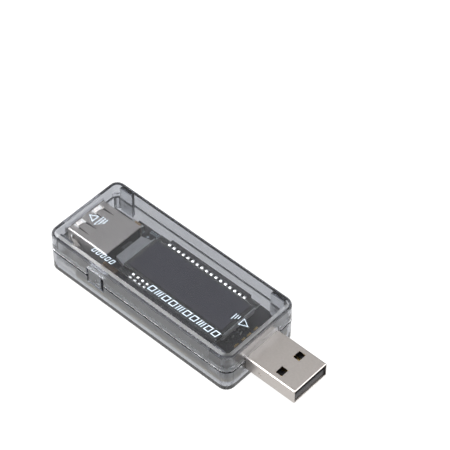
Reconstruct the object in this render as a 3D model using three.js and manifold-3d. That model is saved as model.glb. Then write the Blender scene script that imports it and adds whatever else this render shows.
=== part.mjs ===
// USB power meter: one circuit board in a snap-together translucent case, with a USB plug at one
// end, a USB socket at the other, a pinned glass display between them and a reset key in one side.
// Millimetres, +Z up, +X towards the plug. The origin is the centre of the overall footprint.

import * as THREE from 'three';
import { mergeVertices } from 'three/addons/utils/BufferGeometryUtils.js';
import Module from 'manifold-3d';

const wasm = await Module();
wasm.setup();

// Case. Lengths along X are counted from the outer face of the socket end.
const CASE_LENGTH = 61.3;
const CASE_WIDTH = 25.3;
const CASE_HEIGHT = 13.2;
const CORNER_RADIUS = 2.8;
const WALL = 1.15;
const FLOOR = 0.75;
const CEILING_SHEET = 1.2;
const SEAM_Z = 7.0;
const SEAM_GAP = 0.42;
const TOP_ROUND = 1.5;
const BOTTOM_ROUND = 0.6;
const TOP_DRAFT = 0.01;
const BOTTOM_DRAFT = -0.01;
const LIP_INSET = 0.4;
const LIP_HEIGHT = 0.8;
const LEDGE = 0.6;
const LEDGE_TOP = 2.3;
const FIT = 0.1;

// Circuit board.
const BOARD_BOTTOM = 2.4;
const BOARD_TOP = 3.6;
const BOARD_START = 1.3;
const BOARD_END = 60.0;
const BOARD_HALF = 11.3;
const NOTCH_END = 9.1;
const NOTCH_HALF = 10.3;
const SEAT_Z = BOARD_TOP + 0.05;
const LEG_END = 1.6;

// USB plug.
const PLUG_REACH = 15.5;
const PLUG_WIDTH = 12.0;
const PLUG_HEIGHT = 4.5;
const PLUG_Z = 3.7;
const PLUG_BACK = 57.5;
const PLUG_TONGUE_TOP = 5.9;
const WINDOW_X = [69.4, 71.4];
const WINDOW_Y = [1.95, 4.4];
const SHEET = 0.3;
const CONTACT_YS = [-3.5, -1.0, 1.0, 3.5];
const CONTACT_WIDTH = 1.0;
const CONTACT_SHEET = 0.2;
const LEG_GAP = 0.02;

// USB socket.
const SOCKET_WIDTH = 13.1;
const SOCKET_HEIGHT = 5.7;
const SOCKET_LENGTH = 14.5;
const SOCKET_Z = SEAT_Z;
const SOCKET_TONGUE_X = [2.5, 10.3];
const SOCKET_TONGUE_Z = [6.5, 8.35];
const SOCKET_TONGUE_HALF = 5.55;
const SPRING_X = [1.6, 6.6];
const ARCH_X = 3.9;
const ARCH_RADIUS = 2.0;
const REAR_GAP_X = 12.2;
const RIM_FLARE = 0.3;
const RIM_DEPTH = 0.4;
const SPRING_Y = 3.15;
const SPRING_WIDTH = 2.6;
const SLOT = 0.45;

// Display and backlight.
const LCD_START = 20.0;
const LCD_END = 53.4;
const LCD_Y = 0.3;
const REAR_GLASS_HALF = 7.8;
const FRONT_GLASS_HALF = 6.0;
const GUIDE_Z = 7.0;
const GUIDE_HALF = 5.9;
const GUIDE_NOSE = 16.05;
const GUIDE_NOSE_HALF = 4.55;
const GUIDE_SHOULDER = 21.1;
const REAR_GLASS_Z = 8.45;
const FRONT_GLASS_Z = 9.03;
const GLASS = 0.5;
const FILM = 0.1;
const FILM_GAP = 0.04;
const LED_X = [14.8, 15.9];
const LED_HALF = 1.6;
const PIN_COUNT = 17;
const PIN_START = 24.0;
const PIN_PITCH = 1.58;
const PIN_WIDTH = 0.5;
const PIN_SHEET = 0.25;

// Reset key and its switch.
const KEY_X = 16.8;
const KEY_LENGTH = 5.8;
const KEY_LOW = 4.8;
const KEY_HIGH = 9.8;
const KEY_GAP = 0.15;
const KEY_FACE = 1.2;
const FLANGE = 0.5;
const PLUNGER_Z = 5.7;

const TIP = CASE_LENGTH + PLUG_REACH;
const HALF_WIDTH = CASE_WIDTH / 2;
const PLUG_HALF = PLUG_WIDTH / 2;
const SOCKET_HALF = SOCKET_WIDTH / 2;
const INNER_Y = HALF_WIDTH - WALL;
const CEILING = CASE_HEIGHT - CEILING_SHEET;
const LIP_CLEAR = SEAM_Z + LIP_HEIGHT + 0.2;

// ---------------------------------------------------------------- solids

function solidOf(geometry) {
  geometry.deleteAttribute('normal');
  geometry.deleteAttribute('uv');
  const merged = mergeVertices(geometry, 1e-4);
  const vertProperties = new Float32Array(merged.attributes.position.array);
  const triVerts = new Uint32Array(merged.index.array);
  return new wasm.Manifold(new wasm.Mesh({ numProp: 3, vertProperties, triVerts }));
}

function geometryOf(solid) {
  const mesh = solid.getMesh();
  const geometry = new THREE.BufferGeometry();
  geometry.setAttribute('position', new THREE.BufferAttribute(mesh.vertProperties, 3));
  geometry.setIndex(new THREE.BufferAttribute(mesh.triVerts, 1));
  geometry.computeVertexNormals();
  return geometry;
}

function block([x0, x1], [y0, y1], [z0, z1]) {
  const geometry = new THREE.BoxGeometry(x1 - x0, y1 - y0, z1 - z0);
  geometry.translate((x0 + x1) / 2, (y0 + y1) / 2, (z0 + z1) / 2);
  return solidOf(geometry);
}

function roundedShape([x0, x1], [y0, y1], radius) {
  const shape = new THREE.Shape();
  shape.absarc(x1 - radius, y0 + radius, radius, -Math.PI / 2, 0);
  shape.absarc(x1 - radius, y1 - radius, radius, 0, Math.PI / 2);
  shape.absarc(x0 + radius, y1 - radius, radius, Math.PI / 2, Math.PI);
  shape.absarc(x0 + radius, y0 + radius, radius, Math.PI, Math.PI * 1.5);
  return shape;
}

function polygon(points) {
  return new THREE.Shape(points.map(([x, y]) => new THREE.Vector2(x, y)));
}

// A shape in the XY plane, swept up from one height to another.
function plate(shape, [z0, z1], curveSegments = 4) {
  const options = { depth: z1 - z0, bevelEnabled: false, curveSegments };
  const geometry = new THREE.ExtrudeGeometry(shape, options);
  geometry.translate(0, 0, z0);
  return solidOf(geometry);
}

// A profile drawn in X and Z, swept along Y.
function strip(points, [y0, y1]) {
  const geometry = new THREE.ExtrudeGeometry(polygon(points), { depth: y1 - y0, bevelEnabled: false });
  geometry.rotateX(Math.PI / 2);
  geometry.translate(0, y1, 0);
  return solidOf(geometry);
}

// A profile drawn in Y and Z, swept along X.
function bar(shape, [x0, x1], curveSegments = 4) {
  const options = { depth: x1 - x0, bevelEnabled: false, curveSegments };
  const geometry = new THREE.ExtrudeGeometry(shape, options);
  geometry.rotateX(Math.PI / 2);
  geometry.rotateZ(Math.PI / 2);
  geometry.translate(x0, 0, 0);
  return solidOf(geometry);
}

function join(solids) {
  return solids.reduce((sum, solid) => sum.add(solid));
}

function cut(solid, tools) {
  return tools.reduce((rest, tool) => rest.subtract(tool), solid);
}

function caseOutline(inset) {
  const xs = [inset, CASE_LENGTH - inset];
  const ys = [inset - HALF_WIDTH, HALF_WIDTH - inset];
  return roundedShape(xs, ys, CORNER_RADIUS - inset);
}

// A ring that follows the case wall between two insets.
function wallRing(outer, inner, zs) {
  const shape = caseOutline(outer);
  shape.holes.push(caseOutline(inner));
  return plate(shape, zs);
}

// The outside of one half: rounded along its free edge. Each side leans in by the draft for
// every millimetre above the seam, and a negative draft leans in below it.
function caseForm([z0, z1], round, draft) {
  const options = {
    depth: z1 - z0 - 2 * round,
    bevelThickness: round,
    bevelSize: round,
    bevelOffset: -round,
    bevelSegments: 4,
    curveSegments: 6,
  };
  const geometry = new THREE.ExtrudeGeometry(caseOutline(0), options);
  geometry.translate(0, 0, z0 + round);
  const points = geometry.attributes.position;
  for (let i = 0; i < points.count; i += 1) {
    const narrowing = draft * (points.getZ(i) - SEAM_Z);
    const alongX = points.getX(i) - CASE_LENGTH / 2;
    points.setX(i, CASE_LENGTH / 2 + alongX * (1 - 2 * narrowing / CASE_LENGTH));
    points.setY(i, points.getY(i) * (1 - 2 * narrowing / CASE_WIDTH));
  }
  return solidOf(geometry);
}

// ---------------------------------------------------------------- case

function caseOpenings() {
  const socketZ = [SOCKET_Z - FIT, SOCKET_Z + SOCKET_HEIGHT + FIT];
  const rimZ = [SOCKET_Z - RIM_FLARE - FIT, SOCKET_Z + SOCKET_HEIGHT + RIM_FLARE + FIT];
  const socketY = SOCKET_HALF + FIT;
  const rimY = SOCKET_HALF + RIM_FLARE + FIT;
  const plugY = PLUG_HALF + FIT;
  const keyX = [KEY_X - KEY_LENGTH / 2, KEY_X + KEY_LENGTH / 2];
  return [
    block([-1, WALL + 1], [-socketY, socketY], socketZ),
    block([-1, RIM_DEPTH + FIT], [-rimY, rimY], rimZ),
    block([CASE_LENGTH - WALL - 1, TIP], [-plugY, plugY], [PLUG_Z - FIT, PLUG_Z + PLUG_HEIGHT + FIT]),
    block(keyX, [-HALF_WIDTH - 1, 1 - INNER_Y], [KEY_LOW, KEY_HIGH]),
  ];
}

const ARM_LENGTH = 4.2;
const ARM_SHEET = 0.9;
const ARM_STARTS = [3.1, 54.6];
const ARM_LOW = 4.1;
const HOOK_Z = [5.1, 5.9];
const HOOK_DEPTH = 0.35;
const ROOT = 0.2;
const PAD_REACH = 4.3;
const PAD_TOP = 9.2;

function eachArm(make) {
  return [-1, 1].flatMap((side) => ARM_STARTS.map((start) => make([start, start + ARM_LENGTH], side)));
}

function acrossY(side, near, far) {
  return side > 0 ? [near, far] : [-far, -near];
}

// One snap arm hangs inside the side wall and ends below the seam in a small outward hook.
function snapArm(xs, side) {
  const outer = INNER_Y - FIT;
  const inner = outer - ARM_SHEET;
  const tiedZ = [LIP_CLEAR, CEILING + ROOT];
  return join([
    block(xs, acrossY(side, inner, outer), [ARM_LOW, CEILING + ROOT]),
    block(xs, acrossY(side, inner, INNER_Y + ROOT), tiedZ),
    block([xs[0] + 1, xs[1] - 1], acrossY(side, inner, INNER_Y + HOOK_DEPTH - FIT), HOOK_Z),
  ]);
}

function hookPocket(xs, side) {
  const zs = [HOOK_Z[0] - FIT, HOOK_Z[1] + FIT];
  return block([xs[0] + 0.8, xs[1] - 0.8], acrossY(side, INNER_Y - 0.5, INNER_Y + HOOK_DEPTH), zs);
}

// A pad across each corner of the cover holds the board down.
function cornerPads() {
  const inBottomShell = plate(caseOutline(WALL + 0.25), [BOARD_TOP + 0.2, LIP_CLEAR + 0.1]);
  const corners = [{ x: 0, inward: PAD_REACH }, { x: CASE_LENGTH, inward: -PAD_REACH }];
  return corners.flatMap(({ x, inward }) => [-1, 1].flatMap((side) => {
    const y = side * HALF_WIDTH;
    const triangle = polygon([[x, y], [x + inward, y], [x, y - side * PAD_REACH]]);
    return [
      plate(triangle, [0, CASE_HEIGHT]).intersect(inBottomShell),
      plate(triangle, [LIP_CLEAR, PAD_TOP]),
    ];
  }));
}

function makeTopCover() {
  const low = SEAM_Z + SEAM_GAP / 2;
  const form = caseForm([1, CASE_HEIGHT], TOP_ROUND, TOP_DRAFT);
  const above = block([-5, CASE_LENGTH + 5], [-20, 20], [low, 20]);
  const hollow = plate(caseOutline(WALL), [0, CEILING]);
  const rebate = wallRing(LIP_INSET - FIT, WALL + 0.5, [0, SEAM_Z + LIP_HEIGHT + FIT]);
  const shell = cut(form.intersect(above), [hollow, rebate]);
  const inside = form.intersect(join([...eachArm(snapArm), ...cornerPads()]));
  return cut(shell.add(inside), caseOpenings());
}

function makeBottomShell() {
  const high = SEAM_Z - SEAM_GAP / 2;
  const form = caseForm([0, CASE_HEIGHT], BOTTOM_ROUND, BOTTOM_DRAFT);
  const below = block([-5, CASE_LENGTH + 5], [-20, 20], [-1, high]);
  const hollow = plate(caseOutline(WALL), [LEDGE_TOP, 20]);
  const well = plate(caseOutline(WALL + LEDGE), [FLOOR, 20]);
  const lip = wallRing(LIP_INSET, WALL, [high - 0.5, SEAM_Z + LIP_HEIGHT]);
  const shell = cut(form.intersect(below), [hollow, well]).add(lip);
  return cut(shell, [...caseOpenings(), ...eachArm(hookPocket)]);
}

// ---------------------------------------------------------------- board

function pinXs() {
  return Array.from({ length: PIN_COUNT }, (_, i) => PIN_START + i * PIN_PITCH);
}

const PIN_FACE = REAR_GLASS_HALF + 0.05;
const PIN_MIDDLE = PIN_FACE + PIN_SHEET / 2;
const SOCKET_LEG_XS = [[4.7, 6.1], [10.9, 12.3]];
const PLUG_LEG_X = [57.9, 59.1];
const SOCKET_CONTACT_X = 13.4;
const PLUG_CONTACT_X = 55.8;

function makeBoard() {
  const holes = [];
  const addHole = (x, y, dx, dy) => {
    holes.push(block([x - dx, x + dx], [y - dy, y + dy], [0, 5]));
  };
  for (const x of pinXs()) {
    addHole(x, LCD_Y - PIN_MIDDLE, 0.42, 0.3);
    addHole(x, LCD_Y + PIN_MIDDLE, 0.42, 0.3);
  }
  for (const y of CONTACT_YS) {
    addHole(SOCKET_CONTACT_X, y, 0.3, 0.6);
    addHole(PLUG_CONTACT_X, y, 0.3, 0.6);
  }
  for (const side of [-1, 1]) {
    for (const [x0, x1] of SOCKET_LEG_XS) {
      addHole((x0 + x1) / 2, side * (SOCKET_HALF - SHEET / 2), 0.9, 0.35);
    }
    addHole((PLUG_LEG_X[0] + PLUG_LEG_X[1]) / 2, side * (PLUG_HALF - SHEET / 2), 0.8, 0.35);
  }
  for (const side of [-1, 1]) {
    holes.push(block([0, NOTCH_END], acrossY(side, NOTCH_HALF, HALF_WIDTH), [0, 5]));
  }
  const outline = roundedShape([BOARD_START, BOARD_END], [-BOARD_HALF, BOARD_HALF], 2.0);
  return cut(plate(outline, [BOARD_BOTTOM, BOARD_TOP]), holes);
}

// ---------------------------------------------------------------- display

function makePinRow(side) {
  const topZ = REAR_GLASS_Z + GLASS + 0.05;
  const lowZ = REAR_GLASS_Z - 0.05 - PIN_SHEET;
  const foot = LCD_Y + side * (FRONT_GLASS_HALF + 0.35);
  const face = LCD_Y + side * PIN_FACE;
  const back = LCD_Y + side * (PIN_FACE + PIN_SHEET);
  const span = (a, b) => [Math.min(a, b), Math.max(a, b)];
  const pins = pinXs().map((x) => {
    const xs = [x - PIN_WIDTH / 2, x + PIN_WIDTH / 2];
    return join([
      block(xs, span(foot, back), [topZ, topZ + PIN_SHEET]),
      block(xs, span(face - side * 0.9, back), [lowZ, lowZ + PIN_SHEET]),
      block(xs, span(face, back), [LEG_END, topZ + PIN_SHEET]),
    ]);
  });
  const beadEnd = PIN_START + (PIN_COUNT - 1) * PIN_PITCH + 0.6;
  const bead = block([PIN_START - 0.6, beadEnd], span(face, back + side * 0.1), [lowZ + 0.3, topZ]);
  return join([...pins, bead]);
}

function makeGuide() {
  const points = [
    [GUIDE_NOSE, LCD_Y - GUIDE_NOSE_HALF],
    [GUIDE_SHOULDER, LCD_Y - GUIDE_HALF],
    [LCD_END - 0.2, LCD_Y - GUIDE_HALF],
    [LCD_END - 0.2, LCD_Y + GUIDE_HALF],
    [GUIDE_SHOULDER, LCD_Y + GUIDE_HALF],
    [GUIDE_NOSE, LCD_Y + GUIDE_NOSE_HALF],
  ];
  return plate(polygon(points), [GUIDE_Z, REAR_GLASS_Z - 0.25]);
}

function glassSheet(half, [z0, z1], trim = 0) {
  return block([LCD_START + trim, LCD_END - trim], [LCD_Y - half, LCD_Y + half], [z0, z1]);
}

function makeSeal() {
  const ring = (inset) => roundedShape(
    [LCD_START + inset, LCD_END - inset],
    [LCD_Y - FRONT_GLASS_HALF + inset, LCD_Y + FRONT_GLASS_HALF - inset],
    0.5,
  );
  const shape = ring(0.2);
  shape.holes.push(ring(0.8));
  return plate(shape, [REAR_GLASS_Z + GLASS + 0.02, FRONT_GLASS_Z - 0.02], 2);
}

function makeLed() {
  const legX = [LED_X[0] + 0.3, LED_X[0] + 0.6];
  const legs = [-1.2, 1.2].map((y) => (
    block(legX, [LCD_Y + y - 0.2, LCD_Y + y + 0.2], [SEAT_Z, GUIDE_Z + 0.3])));
  const lamp = block(LED_X, [LCD_Y - LED_HALF, LCD_Y + LED_HALF], [GUIDE_Z + 0.1, REAR_GLASS_Z - 0.3]);
  return join([lamp, ...legs]);
}

// ---------------------------------------------------------------- plug

function makePlugShell() {
  const zs = [PLUG_Z, PLUG_Z + PLUG_HEIGHT];
  const outside = roundedShape([-PLUG_HALF, PLUG_HALF], zs, 0.5);
  const innerY = PLUG_HALF - SHEET;
  outside.holes.push(roundedShape([-innerY, innerY], [zs[0] + SHEET, zs[1] - SHEET], 0.25));
  const windows = [-1, 1].map((side) => block(WINDOW_X, acrossY(side, ...WINDOW_Y), [0, 10]));
  const legs = [-1, 1].map((side) => block(
    PLUG_LEG_X,
    acrossY(side, innerY + LEG_GAP, PLUG_HALF - LEG_GAP),
    [LEG_END, PLUG_Z + 0.8],
  ));
  return join([cut(bar(outside, [PLUG_BACK, TIP]), windows), ...legs]);
}

function makePlugInsulator() {
  const low = PLUG_Z + SHEET + 0.05;
  const half = PLUG_HALF - SHEET - FIT;
  return block([PLUG_CONTACT_X + 0.4, TIP - 0.5], [-half, half], [low, PLUG_TONGUE_TOP]);
}

function makePlugContact(y) {
  const tip = Math.abs(y) > 2 ? TIP - 1.3 : TIP - 2.3;
  const low = PLUG_TONGUE_TOP + 0.05;
  const high = low + CONTACT_SHEET;
  const near = PLUG_CONTACT_X + CONTACT_SHEET / 2;
  const far = PLUG_CONTACT_X - CONTACT_SHEET / 2;
  const points = [[far, LEG_END], [near, LEG_END], [near, low], [tip, low], [tip, high], [far, high]];
  return strip(points, [y - CONTACT_WIDTH / 2, y + CONTACT_WIDTH / 2]);
}

// ---------------------------------------------------------------- socket

function makeSocketShell() {
  const zs = [SOCKET_Z, SOCKET_Z + SOCKET_HEIGHT];
  const innerY = SOCKET_HALF - SHEET;
  const innerZs = [zs[0] + SHEET, zs[1] - SHEET];
  const outside = roundedShape([-SOCKET_HALF, SOCKET_HALF], zs, 0.5);
  const rimY = SOCKET_HALF + RIM_FLARE;
  const rim = roundedShape([-rimY, rimY], [zs[0] - RIM_FLARE, zs[1] + RIM_FLARE], 0.6);
  const hollow = bar(roundedShape([-innerY, innerY], innerZs, 0.25), [-1, SOCKET_LENGTH + 1]);
  const slits = [-1, 1].flatMap((side) => {
    const near = SPRING_Y - SPRING_WIDTH / 2;
    const far = SPRING_Y + SPRING_WIDTH / 2;
    return [
      block(SPRING_X, acrossY(side, near - SLOT, near), [0, 10]),
      block(SPRING_X, acrossY(side, far, far + SLOT), [0, 10]),
      block([SPRING_X[0], SPRING_X[0] + SLOT], acrossY(side, near - 0.1, far + 0.1), [0, 10]),
    ];
  });
  const arch = new THREE.CylinderGeometry(ARCH_RADIUS, ARCH_RADIUS, SOCKET_WIDTH + 2, 16);
  arch.translate(ARCH_X, 0, SOCKET_Z + SOCKET_HEIGHT / 2);
  const rearGap = block([REAR_GAP_X, SOCKET_LENGTH + 1], [-innerY + 0.6, innerY - 0.6], [0, zs[0] + 1]);
  const legs = SOCKET_LEG_XS.flatMap((xs) => [-1, 1].map((side) => (
    block(xs, acrossY(side, innerY + LEG_GAP, SOCKET_HALF - LEG_GAP), [LEG_END, zs[0] + 0.8]))));
  const body = bar(outside, [0, SOCKET_LENGTH]).add(bar(rim, [0, RIM_DEPTH]));
  return join([cut(body, [hollow, ...slits, solidOf(arch), rearGap]), ...legs]);
}

function makeSocketInsulator() {
  const innerY = SOCKET_HALF - SHEET - 0.05;
  const topZ = SOCKET_Z + SOCKET_HEIGHT - SHEET - 0.05;
  const lowZ = SOCKET_Z + SHEET + 0.05;
  const [tongueStart, tongueEnd] = SOCKET_TONGUE_X;
  const tongueLow = SOCKET_TONGUE_Z[0];
  const tongue = block(SOCKET_TONGUE_X, [-SOCKET_TONGUE_HALF, SOCKET_TONGUE_HALF], SOCKET_TONGUE_Z);
  const backX = [tongueEnd - 0.5, SOCKET_LENGTH - 0.3];
  const back = bar(roundedShape([-innerY, innerY], [lowZ, topZ], 0.4), backX, 3);
  const channelX = [tongueStart + 6.8, SOCKET_CONTACT_X + 0.4];
  const channels = CONTACT_YS.map((y) => block(channelX, [y - 0.65, y + 0.65], [0, tongueLow]));
  return cut(tongue.add(back), channels);
}

function makeSocketContact(y) {
  const tip = SOCKET_TONGUE_X[0] + 0.8;
  const high = SOCKET_TONGUE_Z[0] - 0.1;
  const low = high - CONTACT_SHEET;
  const near = SOCKET_CONTACT_X - CONTACT_SHEET / 2;
  const far = SOCKET_CONTACT_X + CONTACT_SHEET / 2;
  const points = [[tip, low], [near, low], [near, LEG_END], [far, LEG_END], [far, high], [tip, high]];
  return strip(points, [y - CONTACT_WIDTH / 2, y + CONTACT_WIDTH / 2]);
}

// ---------------------------------------------------------------- reset key

const SWITCH_X = [KEY_X - 2.2, KEY_X + 2.2];
const SWITCH_Y = [-9.3, -6.3];
const SWITCH_TOP = 7.05;
const PLUNGER_HALF = 0.8;
const PLUNGER_TIP = -10.0;
const PLUNGER_BACK = -8.4;
const PLUNGER_XS = [KEY_X - PLUNGER_HALF, KEY_X + PLUNGER_HALF];
const PLUNGER_ZS = [PLUNGER_Z - 0.6, PLUNGER_Z + 0.6];

function makeKey() {
  const halfLength = KEY_LENGTH / 2 - KEY_GAP;
  const flangeBack = -INNER_Y + FLANGE + FIT;
  const face = roundedShape([-halfLength, halfLength], [KEY_LOW + KEY_GAP, KEY_HIGH - KEY_GAP], 0.4);
  const faceOptions = { depth: KEY_FACE, bevelEnabled: false, curveSegments: 3 };
  const faceGeometry = new THREE.ExtrudeGeometry(face, faceOptions);
  faceGeometry.rotateX(Math.PI / 2);
  faceGeometry.translate(KEY_X, -INNER_Y + 0.2, 0);
  const flangeX = [KEY_X - KEY_LENGTH / 2 - FLANGE, KEY_X + KEY_LENGTH / 2 + FLANGE];
  const flangeZ = [KEY_LOW - 0.4, KEY_HIGH + 0.4];
  return join([
    solidOf(faceGeometry),
    block(flangeX, [-INNER_Y + FIT, flangeBack], flangeZ),
    block(PLUNGER_XS, [flangeBack - 0.1, PLUNGER_TIP - FIT], PLUNGER_ZS),
  ]);
}

function makeSwitchBody() {
  const reach = PLUNGER_HALF + 0.1;
  const pocket = block([KEY_X - reach, KEY_X + reach], [-10, -7.5], [PLUNGER_Z - 0.7, PLUNGER_Z + 0.7]);
  return cut(block(SWITCH_X, SWITCH_Y, [SEAT_Z, SWITCH_TOP]), [pocket]);
}

function makeSwitchFrame() {
  const [x0, x1] = SWITCH_X;
  const sheet = 0.15;
  const gap = 0.05;
  const points = [
    [x0 - gap - sheet, SEAT_Z],
    [x0 - gap, SEAT_Z],
    [x0 - gap, SWITCH_TOP + gap],
    [x1 + gap, SWITCH_TOP + gap],
    [x1 + gap, SEAT_Z],
    [x1 + gap + sheet, SEAT_Z],
    [x1 + gap + sheet, SWITCH_TOP + gap + sheet],
    [x0 - gap - sheet, SWITCH_TOP + gap + sheet],
  ];
  return strip(points, [SWITCH_Y[0] + 0.4, SWITCH_Y[1] - 0.4]);
}

function makePlunger() {
  return block(PLUNGER_XS, [PLUNGER_TIP, PLUNGER_BACK], PLUNGER_ZS);
}

// A bowed leaf behind the plunger, which snaps over and pushes it back out.
function makeDome() {
  const footY = PLUNGER_BACK + 0.85;
  const outer = 0.75;
  const inner = 0.6;
  const bow = new THREE.Shape();
  bow.moveTo(KEY_X - outer, footY);
  bow.quadraticCurveTo(KEY_X, footY - outer * 0.8, KEY_X + outer, footY);
  bow.lineTo(KEY_X + inner, footY);
  bow.quadraticCurveTo(KEY_X, footY - outer * 0.8 + 0.2, KEY_X - inner, footY);
  return plate(bow, [PLUNGER_Z - 0.5, PLUNGER_Z + 0.5], 6);
}

// ---------------------------------------------------------------- assembly

const FINISHES = {
  case: { color: 0xa5aab0, roughness: 0.15, metalness: 0, transparent: true, opacity: 0.4 },
  board: { color: 0x17181b, roughness: 0.45, metalness: 0 },
  glass: { color: 0xc8d2d6, roughness: 0.05, metalness: 0, transparent: true, opacity: 0.5 },
  polariser: { color: 0x4d4e56, roughness: 0.3, metalness: 0 },
  diffuser: { color: 0xdfe4e4, roughness: 0.5, metalness: 0 },
  bright: { color: 0xd8d8d6, roughness: 0.2, metalness: 1 },
  nickel: { color: 0xb6aca6, roughness: 0.3, metalness: 1 },
  gold: { color: 0xc9a24a, roughness: 0.3, metalness: 1 },
  moulding: { color: 0x25262a, roughness: 0.5, metalness: 0 },
  ceramic: { color: 0xb9a184, roughness: 0.6, metalness: 0 },
};

const meter = new THREE.Group();
meter.position.x = -TIP / 2;

function addPiece(name, finish, solid) {
  const mesh = new THREE.Mesh(geometryOf(solid), new THREE.MeshStandardMaterial(FINISHES[finish]));
  mesh.name = name;
  meter.add(mesh);
}

addPiece('top_cover', 'case', makeTopCover());
addPiece('bottom_shell', 'case', makeBottomShell());
addPiece('main_board', 'board', makeBoard());

const filmZ = FRONT_GLASS_Z + GLASS + FILM_GAP;
const rearFilmZ = REAR_GLASS_Z - FILM_GAP - FILM;
const reflectorZ = GUIDE_Z - FILM_GAP - FILM;
addPiece('lcd_front_polariser', 'polariser', glassSheet(5.2, [filmZ, filmZ + FILM], 1.05));
addPiece('lcd_front_glass', 'glass', glassSheet(FRONT_GLASS_HALF, [FRONT_GLASS_Z, FRONT_GLASS_Z + GLASS]));
addPiece('lcd_seal', 'moulding', makeSeal());
addPiece('lcd_rear_glass', 'glass', glassSheet(REAR_GLASS_HALF, [REAR_GLASS_Z, REAR_GLASS_Z + GLASS]));
addPiece('lcd_rear_polariser', 'polariser', glassSheet(5.4, [rearFilmZ, rearFilmZ + FILM], 0.9));
addPiece('backlight_guide', 'diffuser', makeGuide());
addPiece('backlight_reflector', 'diffuser', glassSheet(5.7, [reflectorZ, reflectorZ + FILM], 1.2));
addPiece('backlight_led', 'diffuser', makeLed());
addPiece('lcd_pin_row_left', 'bright', makePinRow(1));
addPiece('lcd_pin_row_right', 'bright', makePinRow(-1));

addPiece('plug_shell', 'nickel', makePlugShell());
addPiece('plug_insulator', 'moulding', makePlugInsulator());
addPiece('socket_shell', 'nickel', makeSocketShell());
addPiece('socket_insulator', 'moulding', makeSocketInsulator());
CONTACT_YS.forEach((y, i) => {
  addPiece(`plug_contact_${i + 1}`, 'gold', makePlugContact(y));
  addPiece(`socket_contact_${i + 1}`, 'gold', makeSocketContact(y));
});

addPiece('reset_button', 'case', makeKey());
addPiece('switch_body', 'moulding', makeSwitchBody());
addPiece('switch_frame', 'bright', makeSwitchFrame());
addPiece('switch_plunger', 'moulding', makePlunger());
addPiece('switch_dome', 'bright', makeDome());

// Board parts: name, finish, low corner in X and Y, size along X, Y and Z.
const BOARD_PARTS = [
  ['meter_chip', 'moulding', 27.3, -3.5, 7.0, 7.0, 1.4],
  ['amplifier_chip', 'moulding', 44.7, -4.4, 4.9, 3.9, 1.5],
  ['regulator', 'moulding', 50.9, 1.6, 2.9, 1.6, 1.1],
  ['shunt_resistor', 'moulding', 39.9, -3.15, 3.2, 6.3, 0.6],
  ['crystal', 'bright', 35.9, 1.2, 3.2, 1.5, 0.8],
  ['tantalum_capacitor', 'ceramic', 8.9, 7.7, 3.5, 1.8, 1.9],
  ['capacitor_1', 'ceramic', 36.1, -2.6, 2.0, 1.25, 1.0],
  ['capacitor_2', 'ceramic', 45.3, 1.4, 2.0, 1.25, 1.0],
  ['capacitor_3', 'ceramic', 23.9, 2.0, 1.25, 2.0, 1.0],
  ['resistor_1', 'moulding', 23.9, -3.2, 1.6, 0.8, 0.45],
  ['resistor_2', 'moulding', 23.9, -1.4, 1.6, 0.8, 0.45],
  ['resistor_3', 'moulding', 51.2, -3.2, 1.6, 0.8, 0.45],
  ['resistor_4', 'moulding', 51.2, -1.4, 1.6, 0.8, 0.45],
];

for (const [name, finish, x, y, dx, dy, dz] of BOARD_PARTS) {
  addPiece(name, finish, block([x, x + dx], [y, y + dy], [SEAT_Z, SEAT_Z + dz]));
}

const part = new THREE.Group();
part.add(meter);

export default part;
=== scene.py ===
"""Looks of the USB power meter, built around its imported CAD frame.

Pieces are drawn in millimetres, with x counted from the outer face of the socket end, y across the
meter and z up. settle() moves each finished mesh into the row frame, in metres.
"""

import math

import bmesh
import bpy
from mathutils import Matrix, Vector


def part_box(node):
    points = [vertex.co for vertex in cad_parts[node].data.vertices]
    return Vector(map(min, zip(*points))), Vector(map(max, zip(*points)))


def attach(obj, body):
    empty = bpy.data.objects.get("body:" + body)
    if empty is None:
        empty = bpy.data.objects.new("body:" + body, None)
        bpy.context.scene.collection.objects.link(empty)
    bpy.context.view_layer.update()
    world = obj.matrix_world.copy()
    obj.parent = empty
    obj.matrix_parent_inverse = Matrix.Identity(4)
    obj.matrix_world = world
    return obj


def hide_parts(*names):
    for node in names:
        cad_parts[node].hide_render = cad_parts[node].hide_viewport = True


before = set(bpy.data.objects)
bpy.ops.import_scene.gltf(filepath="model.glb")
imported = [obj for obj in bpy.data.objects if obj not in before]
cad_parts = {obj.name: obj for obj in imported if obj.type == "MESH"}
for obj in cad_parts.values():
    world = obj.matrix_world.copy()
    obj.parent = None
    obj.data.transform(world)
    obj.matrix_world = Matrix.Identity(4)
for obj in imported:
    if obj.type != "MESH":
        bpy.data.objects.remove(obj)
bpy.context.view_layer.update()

MM = 0.001
HOUSING = "housing"
KEY_BODY = "reset_key"
STEM_BODY = "switch_stem"

END_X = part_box("socket_shell")[0].x
TO_ROW = Matrix.Translation((END_X, 0, 0)) @ Matrix.Scale(MM, 4)


def span(node):
    """Low and high corners of a CAD node, in the millimetres used here."""
    low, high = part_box(node)
    start = Vector((END_X, 0, 0))
    return (low - start) / MM, (high - start) / MM


COVER_LOW, COVER_HIGH = span("top_cover")
BASE_LOW, BASE_HIGH = span("bottom_shell")
BOARD_LOW, BOARD_HIGH = span("main_board")
PLUG_LOW, PLUG_HIGH = span("plug_shell")
SOCKET_LOW, SOCKET_HIGH = span("socket_shell")
KEY_LOW, KEY_HIGH = span("reset_button")
REAR_LOW, REAR_HIGH = span("lcd_rear_glass")
FRONT_LOW, FRONT_HIGH = span("lcd_front_glass")
GUIDE_LOW, GUIDE_HIGH = span("backlight_guide")

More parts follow.
